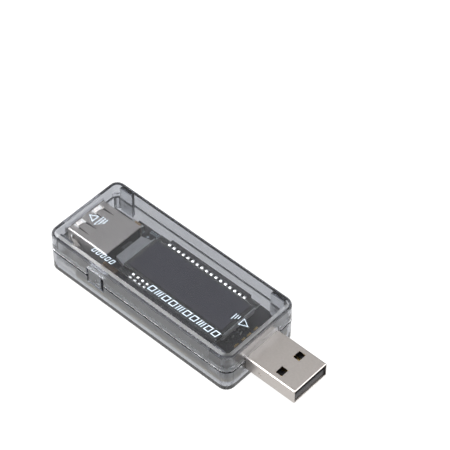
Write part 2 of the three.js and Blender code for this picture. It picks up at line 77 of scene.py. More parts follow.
# Case
CASE_LENGTH = COVER_HIGH.x + COVER_LOW.x
CASE_HALF = COVER_HIGH.y
CASE_TOP = COVER_HIGH.z
CORNER_RADIUS = 2.8
WALL = 1.15
FLOOR = 0.75
CEILING_SHEET = 1.2
SEAM_Z = 7.0
SEAM_GAP = 0.42
LIP_TOP = BASE_HIGH.z
LIP_INSET = 0.4
LIP_SLOPE = 0.5
LEDGE = 0.6
LEDGE_TOP = 2.3
FIT = 0.1
PLUG_FIT = 0.03
TOP_ROUND = 1.5
BOTTOM_ROUND = 0.6
TOP_DRAFT = 0.01
BOTTOM_DRAFT = 0.01
INNER_ROUND = 0.2
EDGE = 0.07
PRINT = 0.02
CEILING = CASE_TOP - CEILING_SHEET
OUTER_TOP = CASE_TOP - PRINT
INNER_Y = CASE_HALF - WALL
ARM_STARTS = (3.1, 54.6)
ARM_LENGTH = 4.2
ARM_SHEET = 0.9
ARM_LOW = 4.1
HOOK_ZS = (5.1, 5.9)
HOOK_DEPTH = 0.35
PAD_REACH = 4.3
PAD_TOP = 9.2

# Board, plug and socket
BOARD_TOP = BOARD_HIGH.z
LEG_END = 1.6
SHEET = 0.3
PLUG_HALF = PLUG_HIGH.y
PLUG_Z = 3.7
PLUG_HEIGHT = 4.5
PLUG_LEG_X = (57.9, 59.1)
PLUG_INNER = 57
PLUG_BACK = 57.5
DIMPLE_X = 65.9
DIMPLE_Z = 5.9
LEG_TOP = 5.4
WINDOW_X = (69.4, 71.4)
WINDOW_Y = (1.95, 4.4)
SOCKET_HALF = 6.55
SOCKET_Z = 3.65
SOCKET_HEIGHT = 5.7
SOCKET_TOP = SOCKET_Z + SOCKET_HEIGHT
SOCKET_END = 14.5
RIM_FLARE = 0.3
SOCKET_LEG_XS = ((4.7, 6.1), (10.9, 12.3))
SPRING_Y = 3.15
SPRING_X = (1.25, 6.6)
CONTACT_YS = (-3.5, -1.0, 1.0, 3.5)
SOCKET_CONTACT_X = 13.4
PLUG_CONTACT_X = 55.8

# Display
LCD_Y = 0.3
LCD_START = FRONT_LOW.x
LCD_END = FRONT_HIGH.x
MASK_WIDTH = 1.1
PIN_COUNT = 17
PIN_START = 24.0
PIN_PITCH = 1.58
PIN_WIDTH = 0.7
PIN_SHEET = 0.22
BARE_PINS = 4
PIN_XS = [PIN_START + i * PIN_PITCH for i in range(PIN_COUNT)]
GLASS_HALF = 7.8

# Gloss of the case
RUBBED = 0.34
TEXTURED = 0.3
TEXTURE_INSET = 0.75

# Reset key
KEY_X = 16.8
KEY_ZS = (4.8, 9.8)
KEY_HALF = 2.9
PLUNGER_Z = 5.7

# ---------------------------------------------------------------- camera, floor, lights

CAMERA_AT = Vector((0.23095, -0.2460, 0.4113))
CAMERA_AIM = Vector((-0.01418, 0.02733, 0.0007))
CAMERA_ROLL = math.radians(0.604)
CAMERA_LENS = 170.1


def add_camera():
    data = bpy.data.cameras.new("camera")
    data.lens = CAMERA_LENS
    data.sensor_width = 36.0
    data.clip_start = 0.01
    data.clip_end = 20.0
    camera = bpy.data.objects.new("camera", data)
    look = (CAMERA_AIM - CAMERA_AT).to_track_quat("-Z", "Y")
    camera.rotation_euler = (look.to_matrix() @ Matrix.Rotation(CAMERA_ROLL, 3, "Z")).to_euler()
    camera.location = CAMERA_AT
    bpy.context.scene.collection.objects.link(camera)
    bpy.context.scene.camera = camera


def add_softbox(name, at, size, power, colour=(1, 1, 1)):
    data = bpy.data.lights.new(name, "AREA")
    data.shape = "RECTANGLE"
    data.size, data.size_y = size
    data.energy = power
    data.color = colour
    light = bpy.data.objects.new(name, data)
    light.location = at
    light.rotation_euler = (-Vector(at)).to_track_quat("-Z", "Y").to_euler()
    bpy.context.scene.collection.objects.link(light)


def add_stage():
    floor_bm = bmesh.new()
    bmesh.ops.create_grid(floor_bm, x_segments=1, y_segments=1, size=3.0)
    floor = mesh_object("floor", floor_bm)
    floor.location.z = -0.0001
    material, shader, _ = principled("floor_white", (0.1, 0.1, 0.1), 0.9)
    shader.inputs["Specular IOR Level"].default_value = 0.0
    shader.inputs["Emission Color"].default_value = (1, 1, 1, 1)
    shader.inputs["Emission Strength"].default_value = 0.97
    floor.data.materials.append(material)
    world = bpy.data.worlds.new("studio")
    world.use_nodes = True
    nodes = world.node_tree.nodes
    links = world.node_tree.links
    direction = nodes.new("ShaderNodeTexCoord")
    height = nodes.new("ShaderNodeSeparateXYZ")
    ramp = nodes.new("ShaderNodeValToRGB")
    ramp.color_ramp.elements[0].position = 0.05
    ramp.color_ramp.elements[0].color = (0.3, 0.3, 0.31, 1)
    ramp.color_ramp.elements[1].position = 0.75
    ramp.color_ramp.elements[1].color = (0.6, 0.6, 0.605, 1)
    links.new(direction.outputs["Generated"], height.inputs["Vector"])
    links.new(height.outputs["Z"], ramp.inputs["Fac"])
    links.new(ramp.outputs["Color"], nodes["Background"].inputs["Color"])
    bpy.context.scene.world = world
    add_softbox("left_light", (-0.40, -0.36, 0.70), (0.9, 0.9), 20.0)
    add_softbox("right_light", (0.38, 0.45, 0.70), (0.9, 0.9), 9.0)
    bpy.context.scene.view_settings.view_transform = "Standard"


# ---------------------------------------------------------------- mesh helpers


def mesh_object(name, bm):
    mesh = bpy.data.meshes.new(name)
    bmesh.ops.recalc_face_normals(bm, faces=bm.faces)
    bm.to_mesh(mesh)
    bm.free()
    piece = bpy.data.objects.new(name, mesh)
    bpy.context.scene.collection.objects.link(piece)
    return piece


def bake_modifiers(piece):
    graph = bpy.context.evaluated_depsgraph_get()
    mesh = bpy.data.meshes.new_from_object(piece.evaluated_get(graph))
    piece.modifiers.clear()
    old = piece.data
    piece.data = mesh
    bpy.data.meshes.remove(old)


def combine(piece, operation, tools):
    for cutter in tools:
        step = piece.modifiers.new("combine", "BOOLEAN")
        step.operation = operation
        step.solver = "EXACT"
        step.object = cutter
        bake_modifiers(piece)
        bpy.data.objects.remove(cutter)


def skin_normal(point, facing):
    """Exact normal of the case's skin at a point, or the face's own where it isn't part of it."""
    core_x = min(max(point.x, CORNER_RADIUS), CASE_LENGTH - CORNER_RADIUS)
    core_y = min(max(point.y, CORNER_RADIUS - CASE_HALF), CASE_HALF - CORNER_RADIUS)
    out = Vector((point.x - core_x, point.y - core_y, 0))
    if out.length < 0.01:
        return facing
    out.normalize()
    rise = min(max((point.z - OUTER_TOP + TOP_ROUND) / TOP_ROUND, 0.0), 1.0)
    fall = min(max((BOTTOM_ROUND - point.z) / BOTTOM_ROUND, 0.0), 1.0)
    tilt = rise - fall
    skin = out * math.sqrt(1 - tilt * tilt) + Vector((0, 0, tilt))
    best = max((skin, -out), key=facing.dot)
    return best if facing.dot(best) > 0.93 else facing


def shape_normals(mesh):
    mesh.polygons.foreach_set("use_smooth", [True] * len(mesh.polygons))
    normals = []
    for face in mesh.polygons:
        normals += [skin_normal(mesh.vertices[i].co, face.normal) for i in face.vertices]
    mesh.normals_split_custom_set(normals)


def settle(piece, material, slot, body=HOUSING, stands_for=(), sharp=35, edge=0.0, skin=False):
    """Finishes a piece's edges, moves it into the row frame and hangs it on its body."""
    if edge:
        soften = piece.modifiers.new("soften", "BEVEL")
        soften.width = edge
        soften.segments = 2
        soften.limit_method = "ANGLE"
        soften.angle_limit = math.radians(50)
        bake_modifiers(piece)
    mesh = piece.data
    if skin:
        shape_normals(mesh)
    else:
        mesh.polygons.foreach_set("use_smooth", [True] * len(mesh.polygons))
        mesh.set_sharp_from_angle(angle=math.radians(sharp))
        weigh = piece.modifiers.new("weigh", "WEIGHTED_NORMAL")
        weigh.keep_sharp = True
        bake_modifiers(piece)
    piece.data.transform(TO_ROW)
    piece.data.materials.clear()
    piece.data.materials.append(material)
    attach(piece, body)
    if stands_for:
        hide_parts(*stands_for)
    return piece


def add_piece(name, forms, finish, body=HOUSING, stands_for=(), edge=0.03, sharp=35):
    """One piece from several closed forms, with one of the finishes."""
    material, slot = finish
    return settle(mesh_object(name, merge(forms)), material, slot, body, stands_for, sharp, edge)


def merge(forms):
    whole = bmesh.new()
    for form in forms:
        mesh = bpy.data.meshes.new("form")
        bmesh.ops.recalc_face_normals(form, faces=form.faces)
        form.to_mesh(mesh)
        form.free()
        whole.from_mesh(mesh)
        bpy.data.meshes.remove(mesh)
    return whole


def loft(rings, closed=False):
    """Skin through rings of equally many points: capped at both ends, or closed into a tube wall."""
    bm = bmesh.new()
    loops = [[bm.verts.new(point) for point in ring] for ring in rings]
    count = len(loops[0])
    pairs = list(zip(loops, loops[1:]))
    if closed:
        pairs.append((loops[-1], loops[0]))
    for near, far in pairs:
        for i in range(count):
            j = (i + 1) % count
            bm.faces.new((near[i], near[j], far[j], far[i]))
    if not closed:
        bm.faces.new(loops[0][::-1])
        bm.faces.new(loops[-1])
    return bm


def outline(xs, ys, radius, steps=8):
    """Rounded rectangle as a list of (x, y)."""
    x0, x1 = xs
    y0, y1 = ys
    centres = (
        (x1 - radius, y0 + radius, -90),
        (x1 - radius, y1 - radius, 0),
        (x0 + radius, y1 - radius, 90),
        (x0 + radius, y0 + radius, 180),
    )
    points = []
    for cx, cy, start in centres:
        for i in range(steps + 1):
            turn = math.radians(start + 90 * i / steps)
            points.append((cx + radius * math.cos(turn), cy + radius * math.sin(turn)))
    return points


def block(xs, ys, zs, radius=0.0, segments=2):
    bm = bmesh.new()
    bmesh.ops.create_cube(bm, size=1.0)
    size = Vector((xs[1] - xs[0], ys[1] - ys[0], zs[1] - zs[0]))
    middle = Vector((xs[0] + xs[1], ys[0] + ys[1], zs[0] + zs[1])) / 2
    matrix = Matrix.Translation(middle) @ Matrix.Diagonal(size).to_4x4()
    bmesh.ops.transform(bm, matrix=matrix, verts=bm.verts)
    if radius:
        bmesh.ops.bevel(bm, geom=bm.edges[:], offset=radius, segments=segments, profile=0.5, affect="EDGES")
    return bm


def tool(xs, ys, zs, radius=0.0):
    return mesh_object("tool", block(xs, ys, zs, radius))


def prism(points, zs):
    """Polygon in X and Y, swept up from one height to another."""
    return loft([[(x, y, z) for x, y in points] for z in zs])


def ring_plate(points, width, zs):
    """Flat frame of even width inside a polygon that runs anticlockwise."""
    corners = [Vector(point) for point in points]
    inner = []
    for i, corner in enumerate(corners):
        ahead = (corners[(i + 1) % len(corners)] - corner).normalized()
        behind = (corner - corners[i - 1]).normalized()
        inward = Vector((-behind.y, behind.x))
        middle = (inward + Vector((-ahead.y, ahead.x))).normalized()
        inner.append(corner + middle * width / middle.dot(inward))
    low, high = zs
    rings = [(corners, low), (corners, high), (inner, high), (inner, low)]
    return loft([[(p.x, p.y, z) for p in ring] for ring, z in rings], closed=True)


def turned(profile, at, steps=12, axis="z"):
    """Round form from (radius, height) pairs, standing on a point."""
    rings = []
    for radius, height in profile:
        ring = []
        for i in range(steps):
            turn = math.tau * i / steps
            a, b = radius * math.cos(turn), radius * math.sin(turn)
            offset = (a, b, height) if axis == "z" else (a, -height, b)
            ring.append(Vector(at) + Vector(offset))
        rings.append(ring)
    return loft(rings)


def curved(points, radius, steps=4):
    """Polyline with its corners bent to a radius."""
    path = [Vector(points[0])]
    for before, corner, after in zip(points, points[1:], points[2:]):
        corner = Vector(corner)
        start = corner + (Vector(before) - corner).normalized() * radius
        end = corner + (Vector(after) - corner).normalized() * radius
        for i in range(steps + 1):
            t = i / steps
            path.append(start * (1 - t) ** 2 + corner * 2 * t * (1 - t) + end * t * t)
    path.append(Vector(points[-1]))
    return path


def ribbon(points, thickness, low, high, plane, radius=0.3):
    """Bent strip of sheet metal, drawn in the XZ or YZ plane. low and high are its sides on the
    third axis, each a number or a pair for a strip that tapers."""
    path = curved(points, radius)
    lengths = [0.0]
    for a, b in zip(path, path[1:]):
        lengths.append(lengths[-1] + (b - a).length)
    sides = [side if isinstance(side, tuple) else (side, side) for side in (low, high)]
    rings = []
    for i, point in enumerate(path):
        ahead = path[min(i + 1, len(path) - 1)] - path[max(i - 1, 0)]
        out = Vector((-ahead.y, ahead.x)).normalized() * thickness / 2
        share = lengths[i] / lengths[-1]
        w0, w1 = (start + (end - start) * share for start, end in sides)
        corners = ((point + out, w0), (point + out, w1), (point - out, w1), (point - out, w0))
        if plane == "xz":
            rings.append([(p.x, w, p.y) for p, w in corners])
        else:
            rings.append([(w, p.x, p.y) for p, w in corners])
    return loft(rings)


def laid_flat(form):
    """Strip with its Y and Z exchanged, for a bend that is drawn in plan."""
    for vert in form.verts:
        vert.co.y, vert.co.z = vert.co.z, vert.co.y
    return form


def mirrored(side, near, far):
    return (near, far) if side > 0 else (-far, -near)


# ---------------------------------------------------------------- materials


def principled(name, colour, roughness):
    material = bpy.data.materials.new(name)
    material.use_nodes = True
    shader = material.node_tree.nodes["Principled BSDF"]
    shader.inputs["Base Color"].default_value = (*colour, 1)
    shader.inputs["Roughness"].default_value = roughness
    return material, shader, material.node_tree


def noise(tree, scale, detail=3.0, stretch=(1, 1, 1)):
    """Noise fixed to the object. The scale is in features per millimetre."""
    place = tree.nodes.new("ShaderNodeTexCoord")
    stretcher = tree.nodes.new("ShaderNodeMapping")
    stretcher.inputs["Scale"].default_value = stretch
    field = tree.nodes.new("ShaderNodeTexNoise")
    field.inputs["Scale"].default_value = scale / MM
    field.inputs["Detail"].default_value = detail
    tree.links.new(place.outputs["Object"], stretcher.inputs["Vector"])
    tree.links.new(stretcher.outputs["Vector"], field.inputs["Vector"])
    return field.outputs["Fac"]


def blended(tree, factor, dark, light, low=0.3, high=0.7):
    ramp = tree.nodes.new("ShaderNodeValToRGB")
    ramp.color_ramp.elements[0].position = low
    ramp.color_ramp.elements[0].color = (*dark, 1)
    ramp.color_ramp.elements[1].position = high
    ramp.color_ramp.elements[1].color = (*light, 1)
    tree.links.new(factor, ramp.inputs["Fac"])
    return ramp.outputs["Color"]


def ranged(tree, factor, low, high):
    span_node = tree.nodes.new("ShaderNodeMapRange")
    span_node.inputs["From Min"].default_value = 0.3
    span_node.inputs["From Max"].default_value = 0.7
    span_node.inputs["To Min"].default_value = low
    span_node.inputs["To Max"].default_value = high
    tree.links.new(factor, span_node.inputs["Value"])
    return span_node.outputs["Result"]


def bumped(tree, shader, factor, depth, strength=0.5):
    """Relief on a shader, with its depth in millimetres."""
    bump = tree.nodes.new("ShaderNodeBump")
    bump.inputs["Strength"].default_value = strength
    bump.inputs["Distance"].default_value = depth * MM
    tree.links.new(factor, bump.inputs["Height"])
    tree.links.new(bump.outputs["Normal"], shader.inputs["Normal"])


def mottled(name, dark, light, roughness, grain, depth, metallic=0.0, stretch=(1, 1, 1), specular=None):
    """Finish with cloudy colour, uneven gloss and a fine relief."""
    material, shader, tree = principled(name, light, roughness[1])
    tint = blended(tree, noise(tree, grain / 4, 4.0, stretch), dark, light)
    tree.links.new(tint, shader.inputs["Base Color"])
    tree.links.new(ranged(tree, noise(tree, grain / 2, 3.0, stretch), *roughness), shader.inputs["Roughness"])
    bumped(tree, shader, noise(tree, grain, 2.0, stretch), depth)
    shader.inputs["Metallic"].default_value = metallic
    if specular is not None:
        shader.inputs["Specular IOR Level"].default_value = specular
    return material


def maths(tree, operation, first, second=None):
    """Maths node on a socket and, where given, a second socket or number."""
    node = tree.nodes.new("ShaderNodeMath")
    node.operation = operation
    tree.links.new(first, node.inputs[0])
    if isinstance(second, (int, float)):
        node.inputs[1].default_value = second
    elif second is not None:
        tree.links.new(second, node.inputs[1])
    return node.outputs["Value"]


def upright(tree):
    """How far a face is from upright: 0 on side faces, 1 on level ones."""
    facing = tree.nodes.new("ShaderNodeNewGeometry")
    parts = tree.nodes.new("ShaderNodeSeparateXYZ")
    tree.links.new(facing.outputs["True Normal"], parts.inputs["Vector"])
    return maths(tree, "ABSOLUTE", parts.outputs["Z"])


def chosen(tree, factor, gloss, dull):
    """Roughness that is the gloss socket at factor 0 and the dull number at factor 1."""
    choose = tree.nodes.new("ShaderNodeMix")
    tree.links.new(factor, choose.inputs["Factor"])
    tree.links.new(gloss, choose.inputs["A"])
    choose.inputs["B"].default_value = dull
    return choose.outputs["Result"]


def ground_edges(tree, gloss):
    """Matt cut edges on a sheet of glass, where its surface doesn't face up or down."""
    return chosen(tree, maths(tree, "LESS_THAN", upright(tree), 0.5), gloss, 0.6)


def worn_edges(tree, gloss):
    """Rounded edges rubbed dull, and a fine matt texture on the moulding's inner side faces."""
    tilt = upright(tree)
    wear = tree.nodes.new("ShaderNodeValToRGB")
    wear.color_ramp.elements[0].position = 0.6
    wear.color_ramp.elements[0].color = (0, 0, 0, 1)
    wear.color_ramp.elements[1].position = 0.8
    wear.color_ramp.elements.new(0.965).color = (1, 1, 1, 1)
    wear.color_ramp.elements.new(0.999).color = (0, 0, 0, 1)
    tree.links.new(tilt, wear.inputs["Fac"])
    place = tree.nodes.new("ShaderNodeTexCoord")
    parts = tree.nodes.new("ShaderNodeSeparateXYZ")
    tree.links.new(place.outputs["Object"], parts.inputs["Vector"])
    along = maths(tree, "SUBTRACT", parts.outputs["X"], END_X + CASE_LENGTH * MM / 2)
    within = maths(tree, "LESS_THAN", maths(tree, "ABSOLUTE", along), (CASE_LENGTH / 2 - TEXTURE_INSET) * MM)
    depth = (CASE_HALF - TEXTURE_INSET) * MM
    across = maths(tree, "LESS_THAN", maths(tree, "ABSOLUTE", parts.outputs["Y"]), depth)
    side = maths(tree, "LESS_THAN", tilt, 0.3)
    textured = maths(tree, "MULTIPLY", maths(tree, "MULTIPLY", within, across), side)
    rubbed = chosen(tree, wear.outputs["Color"], gloss, RUBBED)
    return chosen(tree, textured, rubbed, TEXTURED)


def clear_finish(name, colour, roughness, ior, absorption=None, density=0.0):
    """Clear plastic or glass, a little uneven, with fine handling marks in its gloss."""
    material, shader, tree = principled(name, colour, roughness[1])
    shader.inputs["Transmission Weight"].default_value = 1.0
    shader.inputs["IOR"].default_value = ior
    gloss = ranged(tree, noise(tree, 0.9, 5.0), *roughness)
    dulled = worn_edges if absorption else ground_edges
    tree.links.new(dulled(tree, gloss), shader.inputs["Roughness"])
    bumped(tree, shader, noise(tree, 0.1, 0.0), 0.004, 0.2)
    if absorption:
        absorb = tree.nodes.new("ShaderNodeVolumeAbsorption")
        absorb.inputs["Color"].default_value = (*absorption, 1)
        absorb.inputs["Density"].default_value = density
        tree.links.new(absorb.outputs["Volume"], tree.nodes["Material Output"].inputs["Volume"])
    return material


def board_finish():
    """Black solder resist over copper tracks, with the bare glass laminate on the cut edges."""
    material, shader, tree = principled("board_resist", (0.02, 0.02, 0.024), 0.4)
    resist = blended(tree, noise(tree, 0.25, 4.0), (0.016, 0.016, 0.019), (0.034, 0.033, 0.036))
    laminate = blended(tree, noise(tree, 1.6, 4.0, (1, 1, 3)), (0.24, 0.2, 0.12), (0.42, 0.36, 0.24))
    facing = tree.nodes.new("ShaderNodeNewGeometry")
    parts = tree.nodes.new("ShaderNodeSeparateXYZ")
    choose = tree.nodes.new("ShaderNodeMix")
    choose.data_type = "RGBA"
    tree.links.new(facing.outputs["Normal"], parts.inputs["Vector"])
    tree.links.new(maths(tree, "ABSOLUTE", parts.outputs["Z"]), choose.inputs["Factor"])
    tree.links.new(laminate, choose.inputs["A"])
    tree.links.new(resist, choose.inputs["B"])
    tree.links.new(choose.outputs["Result"], shader.inputs["Base Color"])
    tree.links.new(ranged(tree, noise(tree, 0.8), 0.32, 0.5), shader.inputs["Roughness"])
    place = tree.nodes.new("ShaderNodeTexCoord")
    tracks = tree.nodes.new("ShaderNodeTexBrick")
    tracks.inputs["Scale"].default_value = 0.35 / MM
    tracks.inputs["Mortar Size"].default_value = 0.06
    tracks.inputs["Mortar Smooth"].default_value = 0.4
    tree.links.new(place.outputs["Object"], tracks.inputs["Vector"])
    bumped(tree, shader, tracks.outputs["Fac"], 0.03, 0.4)
    return material


def make_finishes():
    smoke = clear_finish("case_smoke", (0.97, 0.975, 0.98), (0.03, 0.06), 1.56, (0.26, 0.285, 0.35), 330.0)
    glass = clear_finish("display_glass", (0.93, 0.96, 0.95), (0.01, 0.04), 1.5)
    film = mottled("polariser_film", (0.037, 0.036, 0.049), (0.041, 0.04, 0.053), (0.28, 0.34), 6.0, 0.001)
    tin = mottled("pin_tin", (0.74, 0.74, 0.72), (0.86, 0.86, 0.85), (0.25, 0.38), 3.0, 0.005, 1.0)
    solder = mottled("solder", (0.4, 0.4, 0.4), (0.62, 0.62, 0.6), (0.3, 0.5), 2.0, 0.03, 1.0)
    nickel = mottled("shell_nickel", (0.43, 0.4, 0.378), (0.465, 0.434, 0.41), (0.28, 0.33), 8.0, 0.0015, 1.0)
    dull_tints = ((0.64, 0.605, 0.57), (0.69, 0.65, 0.615))
    nickel_dull = mottled("socket_nickel", *dull_tints, (0.3, 0.38), 8.0, 0.0015, 1.0)
    gold = mottled("contact_gold", (0.62, 0.42, 0.16), (0.85, 0.66, 0.32), (0.22, 0.36), 2.0, 0.006, 1.0)
    black = mottled("moulding_black", (0.016, 0.016, 0.018), (0.035, 0.035, 0.038), (0.42, 0.6), 4.0, 0.015)
    chip = mottled("chip_black", (0.02, 0.02, 0.022), (0.04, 0.04, 0.043), (0.5, 0.7), 6.0, 0.012)
    tan = mottled("ceramic_tan", (0.3, 0.2, 0.12), (0.45, 0.33, 0.2), (0.45, 0.6), 3.0, 0.01)
    white = mottled("diffuser_white", (0.225, 0.227, 0.235), (0.262, 0.265, 0.272), (0.4, 0.55), 2.0, 0.01)
    ink = mottled("print_white", (0.36, 0.44, 0.5), (0.48, 0.55, 0.62), (0.5, 0.65), 5.0, 0.006)
    mask = mottled("display_mask", (0.05, 0.045, 0.042), (0.085, 0.078, 0.072), (0.35, 0.5), 3.0, 0.01)
    seal = mottled("glass_seal", (0.22, 0.225, 0.23), (0.3, 0.305, 0.31), (0.3, 0.45), 2.0, 0.01)
    # gap_shadow: near-black, hardly glossy painted shade for the seam band and the rail beside the key.
    gap_tints = ((0.004, 0.004, 0.005), (0.01, 0.01, 0.012))
    gap = mottled("gap_shadow", *gap_tints, (0.7, 0.9), 3.0, 0.004, specular=0.05)
    bronze = mottled("switch_bronze", (0.06, 0.045, 0.035), (0.2, 0.13, 0.07), (0.3, 0.45), 1.5, 0.01, 1.0)
    # display_sealant_and_shade: dark adhesive on the pins, also used as painted dark reflection on their flat
    # fingers.
    sealant_and_shade = mottled("display_sealant_and_shade", (0.03, 0.03, 0.033), (0.06, 0.06, 0.062), (0.25, 0.4), 1.5, 0.03)
    return {
        "smoke": (smoke, "case_smoke"),
        "glass": (glass, "display_glass"),
        "film": (film, "polariser_grey"),
        "tin": (tin, "pin_tin"),
        "solder": (solder, "pin_tin"),
        "nickel": (nickel, "shell_nickel"),
        "socket": (nickel_dull, "shell_nickel"),
        "gold": (gold, "contact_gold"),
        "bronze": (bronze, "contact_gold"),
        "black": (black, "moulding_black"),
        "mask": (mask, "moulding_black"),
        "gap": (gap, "moulding_black"),
        "seal": (seal, "polariser_grey"),
        "sealant_and_shade": (sealant_and_shade, "moulding_black"),
        "chip": (chip, "chip_black"),
        "tan": (tan, "ceramic_tan"),
        "white": (white, "diffuser_white"),
        "ink": (ink, "diffuser_white"),
        "board": (board_finish(), "board_black"),
    }


# ---------------------------------------------------------------- case

ROUND_STEPS = 8


def case_ring(inset, z, radius=CORNER_RADIUS):
    xs = (inset, CASE_LENGTH - inset)
    ys = (inset - CASE_HALF, CASE_HALF - inset)
    return [(x, y, z) for x, y in outline(xs, ys, max(radius - inset, 0.2), 10)]


def quarter(size):
    """Insets and heights round a quarter circle."""
    turns = [math.pi / 2 * i / ROUND_STEPS for i in range(ROUND_STEPS + 1)]
    return [(size * (1 - math.cos(turn)), size * math.sin(turn)) for turn in turns]


def plug_opening():
    """Opening for the plug, wider inside the wall than at its skin."""
    rings = []
    stations = [(CASE_LENGTH + 1, 0), (CASE_LENGTH - 0.12, 0)]
    stations += [(CASE_LENGTH - WALL - 0.2, 1.0), (PLUG_INNER, 1.0)]
    for x, room in stations:
        half = PLUG_HALF + PLUG_FIT + room
        heights = (PLUG_Z - PLUG_FIT - room, PLUG_Z + PLUG_HEIGHT + PLUG_FIT + room)
        rings.append([(x, y, z) for y, z in outline((-half, half), heights, 0.45 + room, 5)])
    return mesh_object("tool", loft(rings))


def openings():
    mouth_y = SOCKET_HALF + RIM_FLARE + FIT
    mouth_z = (SOCKET_Z - RIM_FLARE - FIT, SOCKET_TOP + RIM_FLARE + FIT)
    shell_y = SOCKET_HALF + FIT
    key_x = (KEY_X - KEY_HALF, KEY_X + KEY_HALF)
    return [
        tool((-1, WALL + 1), (-shell_y, shell_y), (SOCKET_Z - FIT, SOCKET_TOP + FIT)),
        tool((-1, 0.5), (-mouth_y, mouth_y), mouth_z, 0.5),
        plug_opening(),
        tool(key_x, (-CASE_HALF - 1, 1 - INNER_Y), KEY_ZS),
    ]


def arms():
    """Snap arms that hang from the cover inside the side walls, each with a hook at its foot."""
    outer = INNER_Y - FIT
    inner = outer - ARM_SHEET
    forms = []
    for side in (-1, 1):
        for x in ARM_STARTS:
            ends = (x, x + ARM_LENGTH)
            forms.append(tool(ends, mirrored(side, inner, outer), (ARM_LOW, CEILING + 0.25)))
            tie = mirrored(side, inner + 0.1, INNER_Y + 0.2)
            forms.append(tool((x + 0.03, x + ARM_LENGTH - 0.03), tie, (LIP_TOP + 0.3, CEILING + 0.2)))
            hook = mirrored(side, outer - 0.3, INNER_Y + HOOK_DEPTH - FIT)
            forms.append(tool((x + 1, x + ARM_LENGTH - 1), hook, HOOK_ZS, 0.08))
    return forms


def corner_pads():
    """Pads across the corners of the cover that hold the board down."""
    levels = ((WALL - 0.1, (LIP_TOP + 0.3, PAD_TOP)), (WALL + 0.3, (BOARD_TOP + 0.2, LIP_TOP + 0.5)))
    forms = []
    for side in (-1, 1):
        for x, inward in ((0, 1), (CASE_LENGTH, -1)):
            for inset, zs in levels:
                reach = PAD_REACH - 2 * inset
                corner = (x + inward * inset, side * (CASE_HALF - inset))
                plan = [
                    (corner[0] + inward * 0.5, corner[1]),
                    (corner[0] + inward * reach, corner[1]),
                    (corner[0], corner[1] - side * reach),
                    (corner[0], corner[1] - side * 0.5),
                ]
                forms.append(mesh_object("tool", prism(plan, zs)))
    return forms


def cover_rings():
    low = SEAM_Z + SEAM_GAP / 2
    rings = [case_ring(LIP_INSET - FIT, low), case_ring(EDGE, low), case_ring(0, low + EDGE)]
    straight = OUTER_TOP - TOP_ROUND
    for i in range(1, 5):
        z = low + (straight - low) * i / 5
        rings.append(case_ring(TOP_DRAFT * (z - SEAM_Z), z))
    for inset, rise in quarter(TOP_ROUND):
        rings.append(case_ring(TOP_DRAFT * (straight - SEAM_Z) + inset, straight + rise))
    bend = CEILING - INNER_ROUND
    inside = [case_ring(LIP_INSET - FIT, LIP_TOP + FIT - LIP_SLOPE)]
    inside += [case_ring(WALL - 0.05, LIP_TOP + FIT + 0.15), case_ring(WALL, LIP_TOP + FIT + 0.25)]
    for inset, rise in quarter(INNER_ROUND):
        inside.append(case_ring(WALL + inset, bend + rise))
    return rings[::-1] + inside


def build_cover(finish):
    cover = mesh_object("cover_moulding", loft(cover_rings()))
    combine(cover, "UNION", arms() + corner_pads())
    combine(cover, "DIFFERENCE", openings())
    settle(cover, *finish, stands_for=["top_cover"], skin=True)


def base_rings():
    high = SEAM_Z - SEAM_GAP / 2
    rings = []
    for inset, drop in quarter(BOTTOM_ROUND):
        z = BOTTOM_ROUND - drop
        rings.append(case_ring(BOTTOM_DRAFT * (SEAM_Z - z) + inset, z))
    rings = rings[::-1]
    for i in range(1, 5):
        z = BOTTOM_ROUND + (high - BOTTOM_ROUND) * i / 5
        rings.append(case_ring(BOTTOM_DRAFT * (SEAM_Z - z), z))
    rings += [case_ring(0.006, high - EDGE), case_ring(EDGE, high), case_ring(LIP_INSET, high)]
    rings += [case_ring(LIP_INSET, LIP_TOP - LIP_SLOPE), case_ring(WALL - EDGE, LIP_TOP)]
    rings += [case_ring(WALL, LIP_TOP - EDGE), case_ring(WALL, LEDGE_TOP)]
    rings += [case_ring(WALL + LEDGE - 0.05, LEDGE_TOP), case_ring(WALL + LEDGE, LEDGE_TOP - 0.05)]
    rings += [case_ring(WALL + LEDGE, FLOOR + 0.1), case_ring(WALL + LEDGE + 0.1, FLOOR)]
    return rings


def build_base(finish):
    base = mesh_object("base_moulding", loft(base_rings()))
    pockets = []
    for side in (-1, 1):
        for x in ARM_STARTS:
            ys = mirrored(side, INNER_Y - 0.5, INNER_Y + HOOK_DEPTH)
            zs = (HOOK_ZS[0] - FIT, HOOK_ZS[1] + FIT)
            pockets.append(tool((x + 0.8, x + ARM_LENGTH - 0.8), ys, zs, 0.05))
    combine(base, "DIFFERENCE", openings() + pockets)
    settle(base, *finish, stands_for=["bottom_shell"], skin=True)


def build_seam_shade_line(finish):
    """Painted shade of the parting gap: a thin near-black band that follows the two halves' meeting edges."""
    low, high = SEAM_Z - SEAM_GAP / 2 + 0.01, SEAM_Z + SEAM_GAP / 2 - 0.01
    rows = [case_ring(EDGE, low), case_ring(0.02, low + EDGE), case_ring(0.02, high - EDGE)]
    rows += [case_ring(EDGE, high), case_ring(LIP_INSET - 0.02, high), case_ring(LIP_INSET - 0.02, low)]
    band = mesh_object("seam_shade_band", loft(rows, closed=True))
    combine(band, "DIFFERENCE", openings())
    settle(band, *finish)


